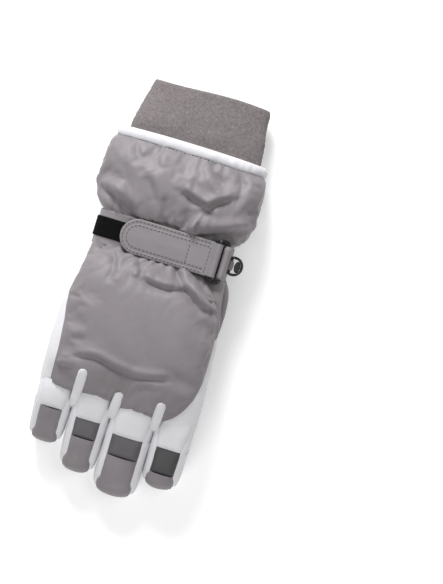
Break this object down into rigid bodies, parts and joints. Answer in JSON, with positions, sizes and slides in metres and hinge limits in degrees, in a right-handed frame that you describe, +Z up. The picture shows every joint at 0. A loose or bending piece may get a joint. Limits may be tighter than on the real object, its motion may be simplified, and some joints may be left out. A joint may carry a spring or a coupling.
{
  "type": "ski glove",
  "caption": "Padded right-hand ski glove, palm down with the thumb folded under, with a fleece cuff, wrist strap, buckle ring and clip.",
  "frame": {"origin": "middle of the glove's footprint, on the surface that it lies on", "axes": "+Y from the fingertips to the cuff, +X towards the thumb's side, +Z up out of the back of the hand"},
  "size_m": [0.117, 0.2936, 0.055],
  "materials": {
    "gray_nylon": "satin woven nylon",
    "white_nylon": "satin woven nylon",
    "dark_nylon": "satin woven nylon",
    "gray_webbing": "laminated nylon strap",
    "palm_grip": "textured synthetic",
    "fleece": "matt brushed fleece",
    "padding": "matt wadding",
    "lining": "matt brushed knit",
    "elastic": "matt",
    "black_tape": "matt hook and loop",
    "black_plastic": "satin"
  },
  "bodies": {
    "hand": {"back_panel": "gray_nylon", "palm_heel": "gray_nylon", "palm_patch": "palm_grip", "palm_front": "gray_nylon", "hand_side_strips": "white_nylon", "crotch_gussets": "white_nylon", "hand_wadding": "padding", "hand_lining": "lining", "wrist_elastics": "elastic", "strap_lower": "gray_webbing", "loop_tape": "black_tape", "anchor_loop": "gray_webbing"},
    "gauntlet": {"gauntlet_back": "gray_nylon", "gauntlet_palm": "gray_nylon", "gauntlet_wadding": "padding", "edge_binding": "white_nylon", "fleece_cuff": "fleece"},
    "little_base": {"little_knuckle_panel": "white_nylon", "little_base_sides": "white_nylon", "little_base_front": "gray_nylon", "little_base_lining": "lining"},
    "little_tip": {"little_cap": "gray_nylon", "little_tip_sides": "white_nylon", "little_tip_front": "gray_nylon", "little_tip_lining": "lining"},
    "ring_base": {"ring_knuckle_panel": "white_nylon", "ring_base_sides": "white_nylon", "ring_base_front": "gray_nylon", "ring_base_lining": "lining"},
    "ring_tip": {"ring_band": "dark_nylon", "ring_cap": "gray_nylon", "ring_tip_sides": "white_nylon", "ring_tip_front": "gray_nylon", "ring_tip_lining": "lining"},
    "middle_base": {"middle_knuckle_panel": "white_nylon", "middle_base_sides": "white_nylon", "middle_base_front": "gray_nylon", "middle_base_lining": "lining"},
    "middle_tip": {"middle_band": "dark_nylon", "middle_cap": "gray_nylon", "middle_tip_sides": "white_nylon", "middle_tip_front": "gray_nylon", "middle_tip_lining": "lining"},
    "index_base": {"index_knuckle_panel": "white_nylon", "index_base_sides": "white_nylon", "index_base_front": "gray_nylon", "index_base_lining": "lining"},
    "index_tip": {"index_band": "dark_nylon", "index_cap": "gray_nylon", "index_tip_sides": "white_nylon", "index_tip_front": "gray_nylon", "index_tip_lining": "lining"},
    "thumb_base": {"thumb_base_shell": "gray_nylon", "thumb_base_lining": "lining"},
    "thumb_tip": {"thumb_tip_shell": "gray_nylon", "thumb_tip_lining": "lining"},
    "buckle": {"buckle_ring": "black_plastic"},
    "tab": {"strap_tab": "gray_webbing", "hook_tape": "black_tape"},
    "clip": {"pair_clip": "black_plastic"}
  },
  "joints": [
    {"name": "wrist_flex", "type": "hinge", "parent": "hand", "child": "gauntlet", "pos_m": [-0.001, 0.05, 0.024], "axis": [1, 0, 0], "range_deg": [-25, 25]},
    {"name": "little_knuckle", "type": "hinge", "parent": "hand", "child": "little_base", "pos_m": [-0.043, -0.088, 0.03], "axis": [1, 0, 0], "range_deg": [-10, 50]},
    {"name": "little_middle_bend", "type": "hinge", "parent": "little_base", "child": "little_tip", "pos_m": [-0.043, -0.10283, 0.02401], "axis": [1, 0, 0], "range_deg": [0, 55]},
    {"name": "ring_knuckle", "type": "hinge", "parent": "hand", "child": "ring_base", "pos_m": [-0.0155, -0.088, 0.03], "axis": [1, 0, 0], "range_deg": [-10, 60]},
    {"name": "ring_middle_bend", "type": "hinge", "parent": "ring_base", "child": "ring_tip", "pos_m": [-0.0155, -0.10569, 0.02459], "axis": [1, 0, 0], "range_deg": [0, 65]},
    {"name": "middle_knuckle", "type": "hinge", "parent": "hand", "child": "middle_base", "pos_m": [0.0155, -0.088, 0.03], "axis": [1, 0, 0], "range_deg": [-10, 60]},
    {"name": "middle_middle_bend", "type": "hinge", "parent": "middle_base", "child": "middle_tip", "pos_m": [0.0155, -0.11022, 0.02405], "axis": [1, 0, 0], "range_deg": [0, 65]},
    {"name": "index_knuckle", "type": "hinge", "parent": "hand", "child": "index_base", "pos_m": [0.045, -0.088, 0.03], "axis": [1, 0, 0], "range_deg": [-10, 60]},
    {"name": "index_middle_bend", "type": "hinge", "parent": "index_base", "child": "index_tip", "pos_m": [0.045, -0.10915, 0.02394], "axis": [1, 0, 0], "range_deg": [0, 65]},
    {"name": "thumb_swing", "type": "hinge", "parent": "hand", "child": "thumb_base", "pos_m": [0.036, -0.008, 0.00875], "axis": [0, 0, 1], "range_deg": [0, 60]},
    {"name": "thumb_bend", "type": "hinge", "parent": "thumb_base", "child": "thumb_tip", "pos_m": [0.0337, -0.04092, 0.00875], "axis": [0, 0, 1], "range_deg": [-45, 10]},
    {"name": "buckle_swivel", "type": "hinge", "parent": "hand", "child": "buckle", "pos_m": [0.0442, 0.0335, 0.04], "axis": [0, 1, 0], "range_deg": [0, 60]},
    {"name": "tab_peel", "type": "hinge", "parent": "buckle", "child": "tab", "pos_m": [0.0375, 0.0335, 0.04355], "axis": [0, 1, 0], "range_deg": [0, 110]},
    {"name": "clip_swing", "type": "hinge", "parent": "hand", "child": "clip", "pos_m": [0.0489, 0.0335, 0.0305], "axis": [0, 1, 0], "range_deg": [-60, 45]}
  ]
}
